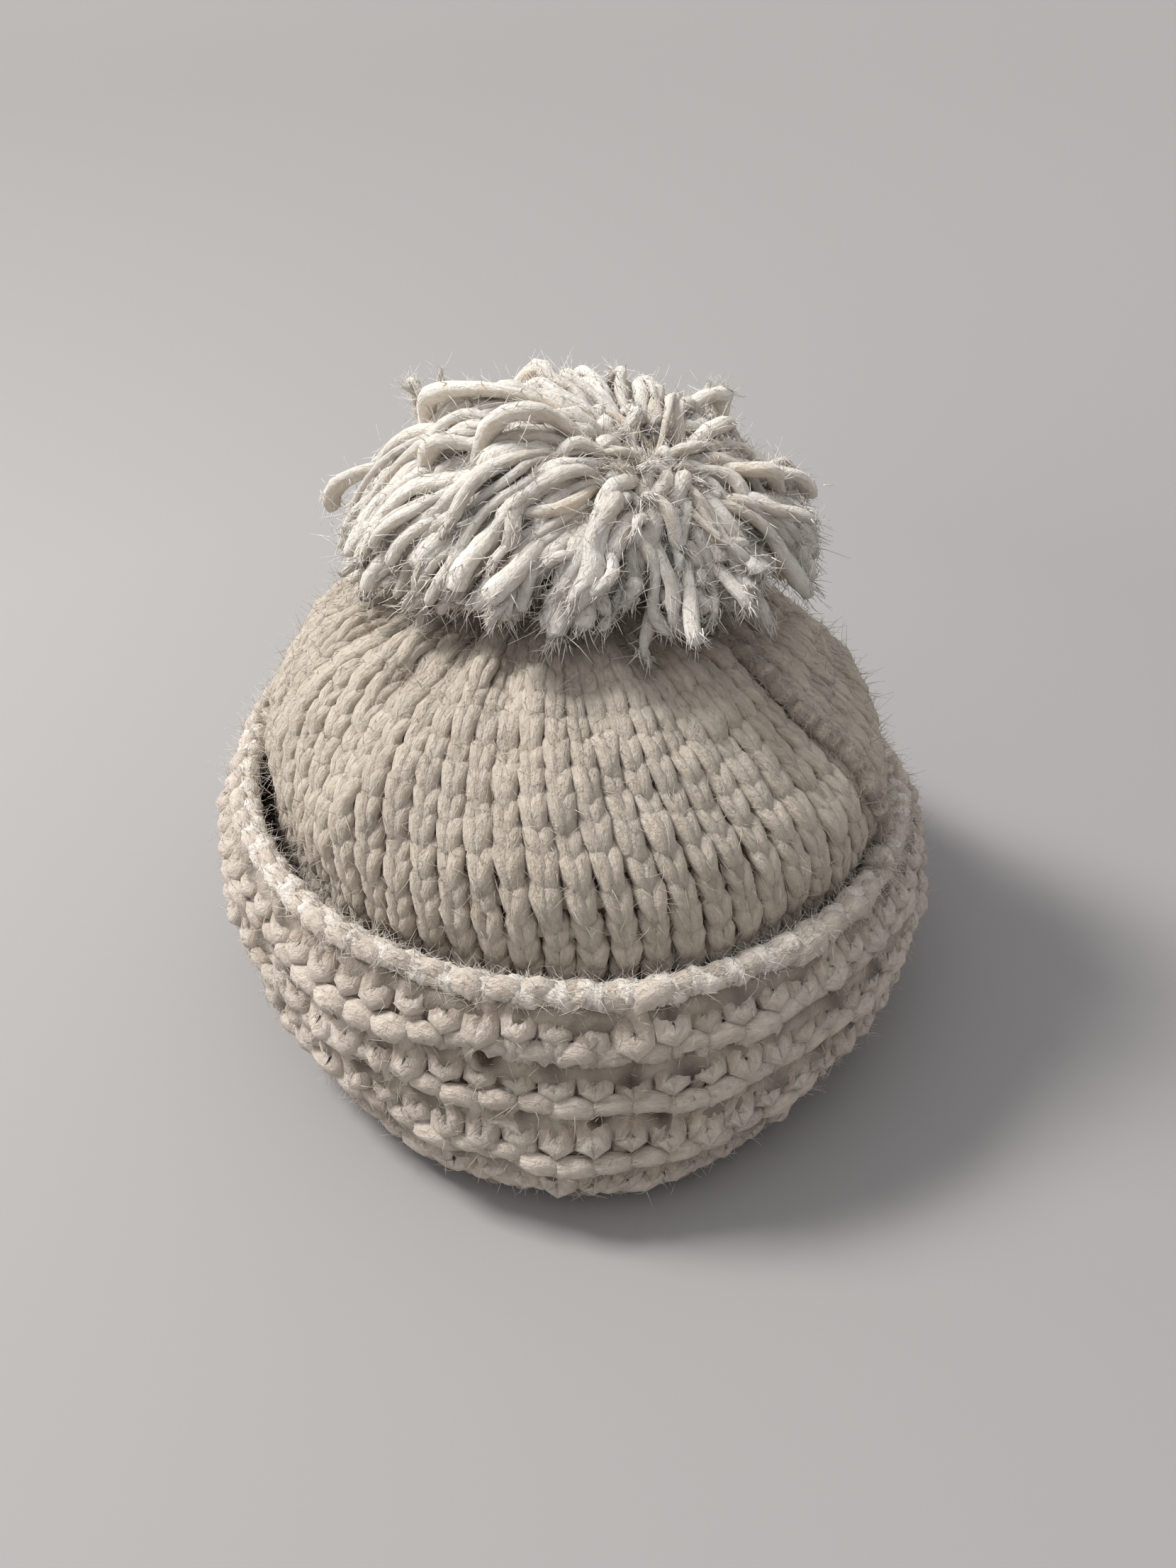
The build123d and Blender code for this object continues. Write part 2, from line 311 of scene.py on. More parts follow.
# %% Hairs and fuzz
def hairs(rand, roots, directions, lengths, thickness, curl):
    """Many curved hairs at once, each a closed three-sided tube."""
    count, rings = len(roots), 3
    t = np.linspace(0, 1, rings)[None, :, None]
    directions = directions / np.linalg.norm(directions, axis=1)[:, None]
    lengths = lengths[:, None, None]
    curls = rand.normal(0, 1, (count, 1, 3)) * curl * lengths
    path = roots[:, None] + directions[:, None] * lengths * t + curls * t ** 2
    tangent = directions[:, None] * lengths + 2 * curls * t
    side = np.cross(tangent, rand.normal(0, 1, (count, 1, 3)))
    side /= np.linalg.norm(side, axis=2)[..., None] + 1e-9
    up = np.cross(side, tangent)
    up /= np.linalg.norm(up, axis=2)[..., None] + 1e-9
    turn = np.arange(3) * 2 * np.pi / 3
    ring = (np.cos(turn)[:, None] * up[:, :, None] + np.sin(turn)[:, None] * side[:, :, None])
    verts = path[:, :, None] + ring * thickness * (1 - 0.7 * t[..., None])
    first = np.arange(count)[:, None, None] * rings * 3
    i, j = np.arange(rings - 1)[None, :, None] * 3, np.arange(3)[None, None, :]
    j2 = (j + 1) % 3
    quads = np.stack([first + i + j, first + i + j2, first + i + 3 + j2, first + i + 3 + j], -1)
    first = first[:, 0, 0][:, None]
    caps = np.concatenate([first + np.array([2, 1, 0]), first + (rings - 1) * 3 + np.arange(3)])
    tone = np.repeat(rand.uniform(0.4, 1.0, count), rings * 3)
    return {"verts": verts.reshape(-1, 3), "quads": quads.reshape(-1, 4),
            "uv": np.zeros((quads.size, 2)), "tone": tone, "deep": 0 * tone, "caps": caps}


def fuzz(tubes, count, length, seed, stand=0.45, deepest=0.55, thickness=0.05):
    """Hairs that lie loosely on the seen side of some yarns."""
    rand = np.random.default_rng(seed)
    verts = np.concatenate([t["verts"] for t in tubes])
    out = np.concatenate([t["out"] for t in tubes])
    way = np.concatenate([t["way"] for t in tubes])
    seen = np.flatnonzero(np.concatenate([t["deep"] for t in tubes]) < deepest)
    pick = rand.choice(seen, count)
    out = out[pick] / (np.linalg.norm(out[pick], axis=1)[:, None] + 1e-9)
    along = way[pick] * rand.choice([-1, 1], count)[:, None]
    directions = stand * out + 0.8 * along + rand.normal(0, 0.45, (count, 3))
    lengths = rand.uniform(*length, count)
    return hairs(rand, verts[pick] - 0.1 * out, directions, lengths, thickness, 0.25)


# %% [markdown]
# ## Pieces
#
# Tubes that belong together become one mesh. It rides on a body of the frame, and where it
# shows what a frame piece stands for, it replaces that piece. Writing all its points at once
# from arrays takes moments, where adding thousands of tubes one by one would take minutes.

# %% Mesh pieces
PRESSED = 1.2               # yarn this low is pressed flat on what the hat stands on


def join_tubes(tubes):
    """Several tubes as one set of arrays, with their open ends closed."""
    verts, quads, uvs, tones, deeps, caps, base = [], [], [], [], [], [], 0
    for t in tubes:
        verts.append(t["verts"])
        quads.append(t["quads"] + base)
        uvs.append(t["uv"])
        tones.append(t["tone"])
        deeps.append(t["deep"])
        if t["caps"] is not None:
            caps.append(base + t["caps"])
        base += len(t["verts"])
    verts = np.concatenate(verts)
    height = verts[:, 2] - PRESSED
    verts[:, 2] = np.where(height < 0, PRESSED * np.exp(height / PRESSED), verts[:, 2])
    return (verts, np.concatenate(quads), np.concatenate(uvs),
            np.concatenate(tones), np.concatenate(deeps), caps)


def mesh_piece(name, tubes, body, material, nodes=()):
    """A piece of the hat made of tubes. It rides on a body and stands for some frame nodes."""
    verts, quads, uvs, tones, deeps, caps = join_tubes(tubes)
    mesh = bpy.data.meshes.new(name)
    corners = np.concatenate([quads.ravel()] + [c.ravel() for c in caps])
    sizes = np.concatenate([np.full(len(quads), 4)]
                           + [np.full(len(c), c.shape[1]) for c in caps]).astype(np.int32)
    starts = np.concatenate([[0], np.cumsum(sizes)[:-1]]).astype(np.int32)
    mesh.vertices.add(len(verts))
    mesh.vertices.foreach_set("co", (verts * MM).astype(np.float32).ravel())
    mesh.loops.add(len(corners))
    mesh.loops.foreach_set("vertex_index", corners.astype(np.int32))
    mesh.polygons.add(len(sizes))
    mesh.polygons.foreach_set("loop_start", starts)
    mesh.polygons.foreach_set("use_smooth", np.ones(len(sizes), bool))
    layer = mesh.uv_layers.new(name="yarn")
    all_uv = np.zeros((len(corners), 2), np.float32)
    all_uv[:len(uvs)] = uvs
    layer.data.foreach_set("uv", all_uv.ravel())
    for label, values in (("tone", tones), ("deep", deeps)):
        attribute = mesh.attributes.new(label, "FLOAT", "POINT")
        attribute.data.foreach_set("value", values.astype(np.float32))
    mesh.update(calc_edges=True)
    mesh.validate()
    mesh.materials.append(material)
    obj = bpy.data.objects.new(name, mesh)
    bpy.context.scene.collection.objects.link(obj)
    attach(obj, body)
    if nodes:
        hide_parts(*nodes)
    print(f"{name}: {len(tubes)} yarns, {len(sizes)} faces")
    return obj


# %% [markdown]
# ## Wool
#
# Real wool is matt, a little uneven in colour, and warmer where light reaches it only through
# other yarn; that warm shade is painted into the colour here. All the materials share one node
# group, so that they stay alike. It takes a light colour and a colour of painted shade, and
# gives the colour of the wool and its fibre bump. A picture of yarn could do this, but noise
# needs no file and follows each yarn.

# %% Node helpers
def new_group(name, inputs, outputs):
    """An empty node group with its sockets, and its input and output nodes."""
    group = bpy.data.node_groups.new(name, "ShaderNodeTree")
    for label, kind, value in inputs:
        socket = group.interface.new_socket(label, in_out="INPUT", socket_type=kind)
        socket.default_value = value
    for label, kind in outputs:
        group.interface.new_socket(label, in_out="OUTPUT", socket_type=kind)
    return group, group.nodes.new("NodeGroupInput"), group.nodes.new("NodeGroupOutput")


def add_node(group, kind, values=(), **settings):
    """A new node with its settings and the values of some of its inputs."""
    node = group.nodes.new("ShaderNode" + kind)
    for label, value in settings.items():
        setattr(node, label, value)
    for socket, value in dict(values).items():
        node.inputs[socket].default_value = value
    return node


# %% [markdown]
# The group mixes three noises: fibres stretched along the yarn, fine felt and broad patches.
# Deep yarn takes the Shade colour, which is painted shade; fibre streaks and broad patches
# also pull it some way towards that colour at random, and each stitch's tone makes it a little
# lighter or darker.

# %% Wool group
def wool_group():
    """Colour and surface of fuzzy wool yarn."""
    group, source, result = new_group(
        "wool", [("Light", "NodeSocketColor", (0.7, 0.67, 0.6, 1)),
                 ("Shade", "NodeSocketColor", (0.4, 0.33, 0.22, 1)),
                 ("Fibre depth", "NodeSocketFloat", 0.5)],
        [("Color", "NodeSocketColor"), ("Roughness", "NodeSocketFloat"),
         ("Normal", "NodeSocketVector")])
    link = group.links.new

    uv = add_node(group, "UVMap", uv_map="yarn")
    place = add_node(group, "TexCoord")
    tone = add_node(group, "Attribute", attribute_name="tone")
    deep = add_node(group, "Attribute", attribute_name="deep")

    stretch = add_node(group, "Mapping", {"Scale": (0.35, 14, 1)})
    link(uv.outputs["UV"], stretch.inputs["Vector"])
    grow = add_node(group, "Math", {1: 40}, operation="MULTIPLY")
    link(tone.outputs["Fac"], grow.inputs[0])
    lift = add_node(group, "CombineXYZ")
    link(grow.outputs[0], lift.inputs["Z"])
    offset = add_node(group, "VectorMath", operation="ADD")
    link(stretch.outputs["Vector"], offset.inputs[0])
    link(lift.outputs["Vector"], offset.inputs[1])
    fibres = add_node(group, "TexNoise", {"Scale": 1.0, "Detail": 4, "Roughness": 0.65})
    link(offset.outputs["Vector"], fibres.inputs["Vector"])
    felt = add_node(group, "TexNoise",
                    {"Scale": 600, "Detail": 5, "Roughness": 0.7, "Distortion": 0.6})
    link(place.outputs["Object"], felt.inputs["Vector"])
    patches = add_node(group, "TexNoise", {"Scale": 45, "Detail": 3})
    link(place.outputs["Object"], patches.inputs["Vector"])

    spread = add_node(group, "MapRange",
                      {"From Min": 0.3, "From Max": 0.75, "To Min": 0.50, "To Max": 0.0})
    link(fibres.outputs["Fac"], spread.inputs["Value"])
    # Painted shade: deep yarn is mixed towards the Shade colour, with random fibre streaks and
    # patches on top.
    shade = add_node(group, "Math", {1: 0.85}, operation="MULTIPLY_ADD")
    link(deep.outputs["Fac"], shade.inputs[0])
    link(spread.outputs["Result"], shade.inputs[2])
    spot = add_node(group, "Math", {1: 0.5}, operation="SUBTRACT")
    link(patches.outputs["Fac"], spot.inputs[0])
    patch = add_node(group, "Math", {1: 0.35}, operation="MULTIPLY_ADD", use_clamp=True)
    link(spot.outputs[0], patch.inputs[0])
    link(shade.outputs[0], patch.inputs[2])

    mix = add_node(group, "Mix", data_type="RGBA")
    link(patch.outputs[0], mix.inputs["Factor"])
    link(source.outputs["Light"], mix.inputs[6])
    link(source.outputs["Shade"], mix.inputs[7])
    bright = add_node(group, "MapRange", {"To Min": 0.82, "To Max": 1.08})
    link(tone.outputs["Fac"], bright.inputs["Value"])
    value = add_node(group, "HueSaturation")
    link(bright.outputs["Result"], value.inputs["Value"])
    link(mix.outputs[2], value.inputs["Color"])
    link(value.outputs["Color"], result.inputs["Color"])

    rough = add_node(group, "MapRange", {"To Min": 0.78, "To Max": 1.0})
    link(felt.outputs["Fac"], rough.inputs["Value"])
    link(rough.outputs["Result"], result.inputs["Roughness"])
    height = add_node(group, "Math", {1: 0.6}, operation="MULTIPLY_ADD")
    link(felt.outputs["Fac"], height.inputs[0])
    link(fibres.outputs["Fac"], height.inputs[2])
    bump = add_node(group, "Bump", {"Distance": 0.0013})
    link(source.outputs["Fibre depth"], bump.inputs["Strength"])
    link(height.outputs[0], bump.inputs["Height"])
    link(bump.outputs["Normal"], result.inputs["Normal"])
    return group


# %% [markdown]
# Each material gives the group its own two colours. The second is painted shade for deep yarn.
# The first is the yarn's own colour, made lighter or darker by place: painted light on the edge
# and the pompom, which face the key, and painted shade a little on the crown in the pompom's
# shadow, inside the band and at the tie. The shader adds the soft sheen of fibres and a little
# light that passes through them.

# %% Wool materials
WOOL = wool_group()


def wool(name, light, shade, glow=0.12):
    """A wool material with these two colours."""
    material = bpy.data.materials.new(name)
    material.use_nodes = True
    tree = material.node_tree
    shader = tree.nodes["Principled BSDF"]
    yarn = tree.nodes.new("ShaderNodeGroup")
    yarn.node_tree = WOOL
    yarn.inputs["Light"].default_value = (*light, 1)
    yarn.inputs["Shade"].default_value = (*shade, 1)
    yarn.inputs["Fibre depth"].default_value = 1.0
    tree.links.new(yarn.outputs["Color"], shader.inputs["Base Color"])
    tree.links.new(yarn.outputs["Roughness"], shader.inputs["Roughness"])
    tree.links.new(yarn.outputs["Normal"], shader.inputs["Normal"])
    shader.inputs["Specular IOR Level"].default_value = 0.15
    shader.inputs["Sheen Weight"].default_value = 0.35
    shader.inputs["Sheen Roughness"].default_value = 0.5
    shader.inputs["Sheen Tint"].default_value = (1.0, 0.97, 0.92, 1)
    shader.inputs["Subsurface Weight"].default_value = glow
    shader.inputs["Subsurface Radius"].default_value = (1.0, 0.75, 0.5)
    shader.inputs["Subsurface Scale"].default_value = 0.004
    return material


# Each Light colour is the yarn lit or shaded for its place; each Shade colour is painted shade for
# deep yarn.
CROWN_WOOL = wool("crown_wool", (0.72, 0.64, 0.54), (0.30, 0.22, 0.14))
CUFF_WOOL = wool("cuff_wool", (0.76, 0.68, 0.60), (0.34, 0.25, 0.17))
# The edge's colour is lighter than the crown's: painted light, as the edge faces up to the key.
LIT_EDGE_WOOL = wool("lit_edge_wool", (0.92, 0.88, 0.82), (0.58, 0.44, 0.28))
SHADED_INSIDE_WOOL = wool("shaded_inside_wool", (0.52, 0.46, 0.37), (0.20, 0.14, 0.08))
# The felt's second colour is near black: painted shade in the slits between wales.
FELT_AND_SHADE_WOOL = wool("felt_and_painted_shade", (0.60, 0.52, 0.43), (0.05, 0.03, 0.015))
# The tie's colour is a tan, darker copy of the yarn: painted shade deep among the strands.
SHADED_TIE_WOOL = wool("shaded_tie_wool", (0.66, 0.50, 0.31), (0.32, 0.20, 0.09))
# The pompom's colour is lighter still: painted light where the key falls on it.
LIT_POMPOM_WOOL = wool("lit_pompom_wool", (0.96, 0.94, 0.89), (0.60, 0.45, 0.29), glow=0.2)
print("materials", sorted(material.name for material in bpy.data.materials))

# %% [markdown]
# ## Courses of stitches
#
# One course is one closed yarn. For each stitch it draws a loop: its feet and head lie
# on the purl side, its two legs lean together on the knit side and make the V. A few sines
# draw the whole course at once. Blurred noise makes neighbouring stitches differ a little,
# as they do in hand knitting.

# %% One course
LEAN = 0.195                # how far the legs lean, in stitch widths
CLOSE = 0.08                # how far both legs draw together
PARTED = 0.045              # and how much further low at the nape, where the wales part
SIDEWAYS = 0.045            # how unevenly stitches lie sideways, in stitch widths
UPWARDS = 0.12              # and along the fabric, in rows
TIGHT_BELOW = 62            # nearer the axis than this, the stitches are drawn tight


def course(s0, pitch, radius, rise=0.95, depth=1.3, flip=1, lift=0.0, samples=12, sides=8,
           extra_shade=0.0, face=1, uneven=0.4, seed=0):
    """One round of stitches whose middle lies at distance s0 along the fabric.

    Flip turns the loops inside out, and face says which side of the fabric is seen.
    """
    noise = np.random.default_rng(1000 + seed)
    t = np.arange(WALES * samples) / samples * 2 * np.pi
    wobble = np.repeat(noise.normal(0, 1, (4, WALES)), samples, axis=1)
    blur = np.hanning(samples * 2 + 1)
    blur /= blur.sum()
    pad = len(blur)
    wobble = np.stack([np.convolve(np.concatenate([w[-pad:], w, w[:pad]]), blur, "same")[pad:-pad]
                       for w in wobble])
    nape = np.exp(-(angle_gap(t / WALES, -86) / 0.5) ** 2)
    nape = nape * smooth(-s0, -BAND_END - 70, -BAND_END)
    close = CLOSE + PARTED * nape + 0.02 * wobble[3]
    x = t / (2 * np.pi) + LEAN * np.sin(2 * t) + close * np.sin(t) + SIDEWAYS * wobble[0]
    y = -rise * np.cos(t) + UPWARDS * wobble[1]
    phi = x / WALES * 2 * np.pi
    s = s0 + y * pitch + 0.05 * pitch * wobble[3]
    r = np.interp(np.clip(s0, 0, FABRIC_LENGTH), even_s, line_r)
    tight = np.clip(r / TIGHT_BELOW, 0.35, 1)
    off = -depth * np.cos(2 * t) * flip * tight + lift + uneven * wobble[2]
    point, normal = on_fabric(phi, s, off)
    thick = radius * (0.55 + 0.45 * tight) * (1 + 0.10 * wobble[3] + 0.08 * wobble[1])
    # Painted shade: the further a point lies below its loop's top, the darker it is, more for
    # courses with extra shade; relief lightens the seen side of the yarn.
    deep = np.clip(0.45 - face * (off - lift) / (2.4 * depth) + extra_shade, 0, 1)
    tone = np.clip(0.5 + 0.22 * wobble[0], 0, 1)
    return tube(point, normal, thick, sides, True, 0.8, tone, deep, 0.35 * face)


# %% [markdown]
# ## Crown
#
# The crown's courses start a little below the rim, inside the cuff, and end round the eye.
# Every round keeps its number of stitches, and they narrow towards the top as the drawstring
# gathers them.

# %% Crown
ROW = 5.9                   # distance between courses in the crown
YARN = 2.1                  # radius of the yarn
crown_start = BAND_END - 3.2 * ROW
crown_rows = int((FABRIC_LENGTH - 2 - crown_start) / ROW)
courses = [course(crown_start + k * ROW, ROW, YARN, seed=k) for k in range(crown_rows)]
third = crown_rows // 3
mesh_piece("crown_lower_courses", courses[:third], "hat", CROWN_WOOL, ["crown"])
mesh_piece("crown_middle_courses", courses[third:2 * third], "hat", CROWN_WOOL)
mesh_piece("crown_upper_courses", courses[2 * third:], "hat", CROWN_WOOL)

# %% [markdown]
# ## Cuff, fold and band
#
# The cuff shows the purl side outside. Its courses take turns: one pushes its loops out and
# makes a ridge of soft bumps, the next sinks back between two ridges. Both are the same
# function with other sizes, since both are the same stitch.

# %% Cuff
CUFF_ROW = 6.35             # distance between courses in the cuff
CUFF_START = 4.0            # from the rim to the first course
FOLD_COURSE = 8             # the first course that lies on the fold
# Valley courses take extra painted shade, as they lie back between the ridges.
RIDGE = {"radius": 2.9, "depth": 1.2, "flip": 1, "lift": -0.9, "extra_shade": 0.0}
VALLEY = {"radius": 2.6, "depth": 0.8, "flip": -1, "lift": 0.5, "extra_shade": 0.2}
cuff_rows = int(round((FOLD_END + 4) / CUFF_ROW))
cuff_courses = [
    course(CUFF_START + k * CUFF_ROW, CUFF_ROW, rise=0.78, face=-1, uneven=0.75, seed=100 + k,
           **(VALLEY if k % 2 else RIDGE))
    for k in range(cuff_rows)]
outer, lower = cuff_courses[:FOLD_COURSE], cuff_courses[FOLD_COURSE:]
mesh_piece("cuff_courses", outer, "hat", CUFF_WOOL, ["cuff"])
mesh_piece("fold_courses", lower, "hat", CUFF_WOOL, ["fold_roll"])

# %% [markdown]
# The band runs on inside the cuff. It is hardly seen, so its yarns have fewer points. Its wool
# is a darker copy of the yarn: painted shade for the inside of the cuff.

# %% Band
band_start = CUFF_START + cuff_rows * CUFF_ROW
band_rows = int((crown_start - band_start) / ROW) + 1
band_courses = [course(band_start + k * ROW, ROW, YARN, samples=8, sides=6, seed=200 + k)
                for k in range(band_rows)]
mesh_piece("band_courses", band_courses, "hat", SHADED_INSIDE_WOOL, ["inner_band"])

# %% [markdown]
# Fuzz covers the knit. It is long and loose on the crown and shorter on the cuff, where hands
# have rubbed it. Each layer is split in two, because one piece would be too heavy to export.

# %% Fuzz on the knit
HAIRS = 12500               # in each piece
for k in range(2):
    crown_fuzz = fuzz(courses, HAIRS, (2.5, 7.0), 21 + k, 0.25, 0.7, 0.10)
    mesh_piece(f"crown_fuzz_{k + 1}", [crown_fuzz], "hat", CROWN_WOOL)
    cuff_fuzz = fuzz(cuff_courses, HAIRS, (1.5, 4.5), 26 + k, 0.3, 0.8, 0.11)
    mesh_piece(f"cuff_fuzz_{k + 1}", [cuff_fuzz], "hat", CUFF_WOOL)

# %% [markdown]
# ## Cast-on edge
#
# A thick edge runs along the top of the cuff, with a shallow notch at every stitch. It could be
# a chain of small loops. At this size one thick yarn that wavers and dips reads the same.

# %% Edge
EDGE_SAMPLES = 14           # points along the edge for each stitch
EDGE_YARN = 3.1             # radius of the edge
t = np.arange(WALES * EDGE_SAMPLES) / EDGE_SAMPLES
phi = t / WALES * 2 * np.pi
noise = np.random.default_rng(5)
wave = sum(noise.uniform(0.15, 0.5) * np.sin(n * phi + noise.uniform(0, 6.28))
           for n in (3, 5, 8, 13, 19))
notch = np.abs(np.cos(np.pi * t)) ** 8
edge_s = -0.6 + 0.5 * wave - 0.35 * np.sin(2 * np.pi * t)
point, normal = on_fabric(phi, edge_s, 0 * t - 0.3)
edge_radius = EDGE_YARN * (1 - 0.05 * notch) * (1 + 0.06 * wave)
# Painted shade in the notches.
edge = tube(point, normal, edge_radius, 12, True, 1.08, 0.5 + 0.15 * wave, 0.35 * notch)
edge_fuzz = fuzz([edge], 9000, (1.5, 5.0), 23, 0.35, 1.1, 0.09)
mesh_piece("edge_yarn", [edge, edge_fuzz], "hat", LIT_EDGE_WOOL, ["cast_on_edge"])

# %% [markdown]
# ## Felt between the stitches
#
# Worn wool felts: loose fibres fill the gaps until only the backs of the loops stand out. One
# thin sheet the length of the fabric stands for that felt. It swells under every wale on the
# crown, and under every loop of the purl side on the cuff, and sinks into the slits between.
# It is partly real felt and partly a dark backing: its colour is painted shade, near black in
# the crown's slits and darker in the cuff's recess rows, with random clumps.

# %% Felt sheet
FELT_AROUND = WALES * 5     # points round the hat
FELT_DOWN = 130             # and along the fabric
FELT_HALF = 0.3             # half the sheet's thickness


def felt_lift(phi, s):
    """How far the felt stands towards the knit side, and how much painted shade it takes in a slit.
    """
    rand = np.random.default_rng(77)
    on_crown = smooth(s, FOLD_END - 6, FOLD_END + 6)
    wale = 0.5 - 0.5 * np.cos(phi * WALES)
    loop = 0.5 + 0.5 * np.cos(np.pi * (s - CUFF_START) / CUFF_ROW)
    grain = sum(np.sin(n * phi + k * s + rand.uniform(0, 6.28)) * rand.uniform(0.1, 0.22)
                for n, k in rand.uniform((-160, -1.6), (160, 1.6), (14, 2)))
    clumps = sum(np.sin(n * phi + k * s + rand.uniform(0, 6.28)) * rand.uniform(0.15, 0.35)
                 for n, k in rand.uniform((-62, -0.8), (62, 0.8), (8, 2)))
    crown = -1.0 + 2.4 * wale ** 0.6
    cuff = -0.7 - 1.7 * loop + 0.7 * (1 - wale) - 0.8 * clumps
    lift = crown * on_crown + cuff * (1 - on_crown) + 0.7 * grain
    # Painted shade: near black in the crown's slits; on the cuff darker in the rows between loops,
    # with random clumps.
    deep = np.where(on_crown > 0.5, 1 - wale ** 0.5, 0.45 - 0.30 * loop + 0.2 * wale + 0.4 * clumps)
    return lift, deep


def felt_sheet():
    """A thin closed sheet from the cast-on edge to the eye."""
    around = np.arange(FELT_AROUND) * 2 * np.pi / FELT_AROUND
    down = np.linspace(1.0, FABRIC_LENGTH - 0.5, FELT_DOWN)
    phi, s = np.meshgrid(around, down, indexing="ij")
    lift, deep = felt_lift(phi, s)
    front, _ = on_fabric(phi, s, lift + FELT_HALF)
    back, _ = on_fabric(phi, s[:, ::-1], lift[:, ::-1] - FELT_HALF)
    rings = np.concatenate([front, back], 1)
    n, m = rings.shape[:2]
    i, j = np.meshgrid(np.arange(n), np.arange(m), indexing="ij")
    i2, j2 = (i + 1) % n, (j + 1) % m
    quads = np.stack([i * m + j, i2 * m + j, i2 * m + j2, i * m + j2], -1).reshape(-1, 4)
    deep = np.concatenate([deep, deep[:, ::-1]], 1).reshape(-1)
    return {"verts": rings.reshape(-1, 3), "quads": quads, "uv": np.zeros((len(quads) * 4, 2)),
            "tone": 0.5 + 0 * deep, "deep": np.clip(deep, 0, 1), "caps": None}


felt = mesh_piece("felt_and_shade_sheet", [felt_sheet()], "hat", FELT_AND_SHADE_WOOL)

# %% [markdown]
# ## Seam
#
# The tube of fabric is sewn up beside the nape. The seam stands up as one thick, bumpy ridge.
# Sewn stitches would be many small loops, but from outside only their rhythm shows, so the
# ridge is a tube whose radius beats once a row.

# %% Seam
SEAM_ANGLE = math.radians(-33)
SEAM_YARN = 2.3             # radius of the ridge between its bumps
s = np.linspace(BAND_END + 3, FABRIC_LENGTH - 8, 260)
beat = np.abs(np.sin(np.pi * s / ROW))
wander = 0.012 * np.sin(s / 9) + 0.008 * np.sin(s / 3.7 + 1)
point, normal = on_fabric(SEAM_ANGLE + wander, s, half + 0.2 + 0.4 * beat)
fade = smooth(s, s[0], s[0] + 12) * 0.5 + 0.5
# Painted shade between the bumps of the ridge.
seam = tube(point, normal, (SEAM_YARN + 0.5 * beat) * fade, 10, False, 0.8,
            0.5 + 0.2 * np.sin(s), 0.5 * (1 - beat))
seam_fuzz = fuzz([seam], 2000, (1.5, 4.5), 24, 0.4, 1.1, 0.09)
mesh_piece("seam_ridge", [seam, seam_fuzz], "hat", CROWN_WOOL, ["back_seam"])

# %% [markdown]
# The two ends of the cuff are joined on the rim with the yarn's tail, which makes a soft lump.
# A short coil of the same yarn is wound there.

# %% Joined end
COIL_POINTS = 40
COIL_TURNS = 2.6
COIL_LENGTH = 9
end_low, end_high = box_mm("seam_end")
end_lift = 0.7 * (end_high[2] - end_low[2])
middle = on_fabric(np.array([SEAM_ANGLE]), np.array([-0.6]))[0][0] + (0, 0, end_lift)
t = np.linspace(0, 1, COIL_POINTS)[:, None]
turn = 2 * np.pi * COIL_TURNS * t
ahead = np.array([-math.sin(SEAM_ANGLE), math.cos(SEAM_ANGLE), 0])
across = np.array([math.cos(SEAM_ANGLE), math.sin(SEAM_ANGLE), 0])
coil = (middle + ahead * (t - 0.5) * COIL_LENGTH + across * 1.5 * np.cos(turn)
        + np.array([0, 0, 1.3]) * np.sin(turn))
coil_radius = 2.3 * np.sin(np.pi * (0.1 + 0.8 * t[:, 0]))
lump = tube(coil, np.tile([0.1, 0.1, 1.0], (COIL_POINTS, 1)), coil_radius, 10, False, 1.0, 0.8)
lump_fuzz = fuzz([lump], 900, (1.5, 4.5), 25, 0.5, 1.1, 0.1)
mesh_piece("joined_end", [lump, lump_fuzz], "hat", LIT_EDGE_WOOL, ["seam_end"])

# %% [markdown]
# ## Pompom
#
# Cut strands of the same soft yarn, tied once round their middle. The knot lies towards the
# nape, so the strands part there, arch over the tie and hang down all round. Each tuft of the
# frame becomes a bundle of them. A strand is a curve with four control points and a few soft
# kinks, and its cut end opens into a brush of fibres. Particles would spread strands evenly,
# but these all start at the tie and bend under their own weight, so each is built by itself.

# %% Strands
wrap_high = box_mm("waist_wrap")[1]
TIE = np.array([17.0, -19.0, wrap_high[2] - 7.0])      # where the strands part
POMPOM_WIDE = 61.0          # half the pompom's width
POMPOM_DEEP = 54.0          # and half its depth
STRAND_POINTS = 20


def yarn_end(rand, path, radius, tone, deep):
    """A soft, lumpy strand along a path, and where and how its brush of fibres starts."""
    count = len(path)
    bumps = np.convolve(rand.normal(0, 0.30, count + 4), np.ones(5) / 5, "valid")
    thick = radius * (0.80 + 0.28 * smooth(np.linspace(0, 1, count), 0.1, 0.8) + bumps)
    thick[-3:] *= (0.92, 0.72, 0.35)
    up = np.tile([0.03, 0.02, 1.0], (count, 1)) + rand.normal(0, 0.25, 3)
    # The side that faces up takes less painted shade.
    body = tube(path, up, thick, 8, False, 0.78, tone, deep, 0.15)
    way = path[-1] - path[-5]
    return body, path[-4], way / np.linalg.norm(way), thick[-5]


